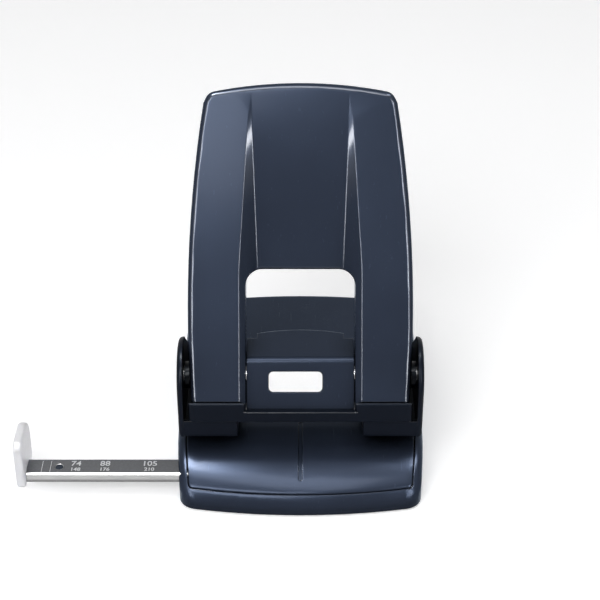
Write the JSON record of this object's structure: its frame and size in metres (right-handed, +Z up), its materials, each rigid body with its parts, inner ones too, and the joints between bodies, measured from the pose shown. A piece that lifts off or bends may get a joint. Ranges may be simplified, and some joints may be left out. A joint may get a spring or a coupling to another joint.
{
  "type": "two-hole punch",
  "caption": "Heavy duty two-hole paper punch with a tall fluted lever handle, fixed punch head, sliding steel paper guide and drop-down chip tray.",
  "frame": {"origin": "on the table, under the middle of the base, at the centre foot's face", "axes": "+X to the punch's right along the sheet's edge, +Y to the back, +Z up"},
  "size_m": [0.1957, 0.1582, 0.1789],
  "materials": {
    "casing_navy": "satin moulded plastic, dark navy",
    "handle_navy": "satin moulded plastic, dark navy",
    "deck_satin": "satin to gloss plastic, dark navy",
    "shroud_dark": "fine-grained dark plastic",
    "under_plastic": "plain dark plastic",
    "label_white": "plain white label",
    "stop_white": "translucent white plastic",
    "ruler_steel": "steel with a dark printed face",
    "frame_cast": "painted cast metal",
    "bright_steel": "ground steel",
    "lever_steel": "zinc-plated steel",
    "bush_brass": "turned brass",
    "foot_rubber": "black rubber"
  },
  "bodies": {
    "root": {"base_shell": "casing_navy", "front_cover": "casing_navy", "base_deck": "deck_satin", "left_side_shroud": "shroud_dark", "right_side_shroud": "shroud_dark", "front_bar": "shroud_dark", "paper_stop": "shroud_dark", "bottom_plate": "under_plastic", "ruler_rail": "under_plastic", "name_label": "label_white", "left_punch_frame": "frame_cast", "right_punch_frame": "frame_cast", "axle": "bright_steel", "left_axle_washer": "bright_steel", "right_axle_washer": "bright_steel", "left_spring": "bright_steel", "right_spring": "bright_steel", "ruler_detent": "bright_steel", "tray_pin": "bright_steel", "die_plate": "bright_steel", "frame_tie": "lever_steel", "frame_screw_1": "lever_steel", "frame_screw_2": "lever_steel", "frame_screw_3": "lever_steel", "frame_screw_4": "lever_steel", "cover_screw_1": "lever_steel", "cover_screw_2": "lever_steel", "foot_1": "foot_rubber", "foot_2": "foot_rubber", "foot_3": "foot_rubber", "foot_4": "foot_rubber", "centre_foot": "foot_rubber"},
    "handle": {"handle_shell": "handle_navy", "left_cam_lever": "lever_steel", "right_cam_lever": "lever_steel", "left_bush": "bush_brass", "right_bush": "bush_brass", "handle_crossbar": "lever_steel", "handle_screw_1": "lever_steel", "handle_screw_2": "lever_steel", "handle_screw_3": "lever_steel", "handle_screw_4": "lever_steel"},
    "left_pin": {"left_punch_pin": "bright_steel"},
    "right_pin": {"right_punch_pin": "bright_steel"},
    "paper_guide": {"ruler_strip": "ruler_steel", "ruler_end_stop": "stop_white", "ruler_rivet_1": "ruler_steel", "ruler_rivet_2": "ruler_steel"},
    "tray": {"chip_tray": "under_plastic"}
  },
  "joints": [
    {"name": "handle_pivot", "type": "hinge", "parent": "root", "child": "handle", "pos_m": [0, -0.0365, 0.052], "axis": [-1, 0, 0], "range_deg": [0, 45], "stiffness_Nm_per_rad": 0.5, "springref_deg": -45.84},
    {"name": "left_pin_slide", "type": "slide", "parent": "root", "child": "left_pin", "axis": [0, 0, -1], "range_m": [0, 0.01], "deforming": ["left_spring"]},
    {"name": "right_pin_slide", "type": "slide", "parent": "root", "child": "right_pin", "axis": [0, 0, -1], "range_m": [0, 0.01], "deforming": ["right_spring"]},
    {"name": "guide_slide", "type": "slide", "parent": "root", "child": "paper_guide", "axis": [-1, 0, 0], "range_m": [-0.069, 0.0175]},
    {"name": "tray_hinge", "type": "hinge", "parent": "root", "child": "tray", "pos_m": [0, -0.014, 0.0034], "axis": [1, 0, 0], "range_deg": [0, 70]}
  ],
  "couplings": [
    {"joint": "left_pin_slide", "follows": "handle_pivot", "m_per_rad": 0.0127},
    {"joint": "right_pin_slide", "follows": "handle_pivot", "m_per_rad": 0.0127}
  ]
}
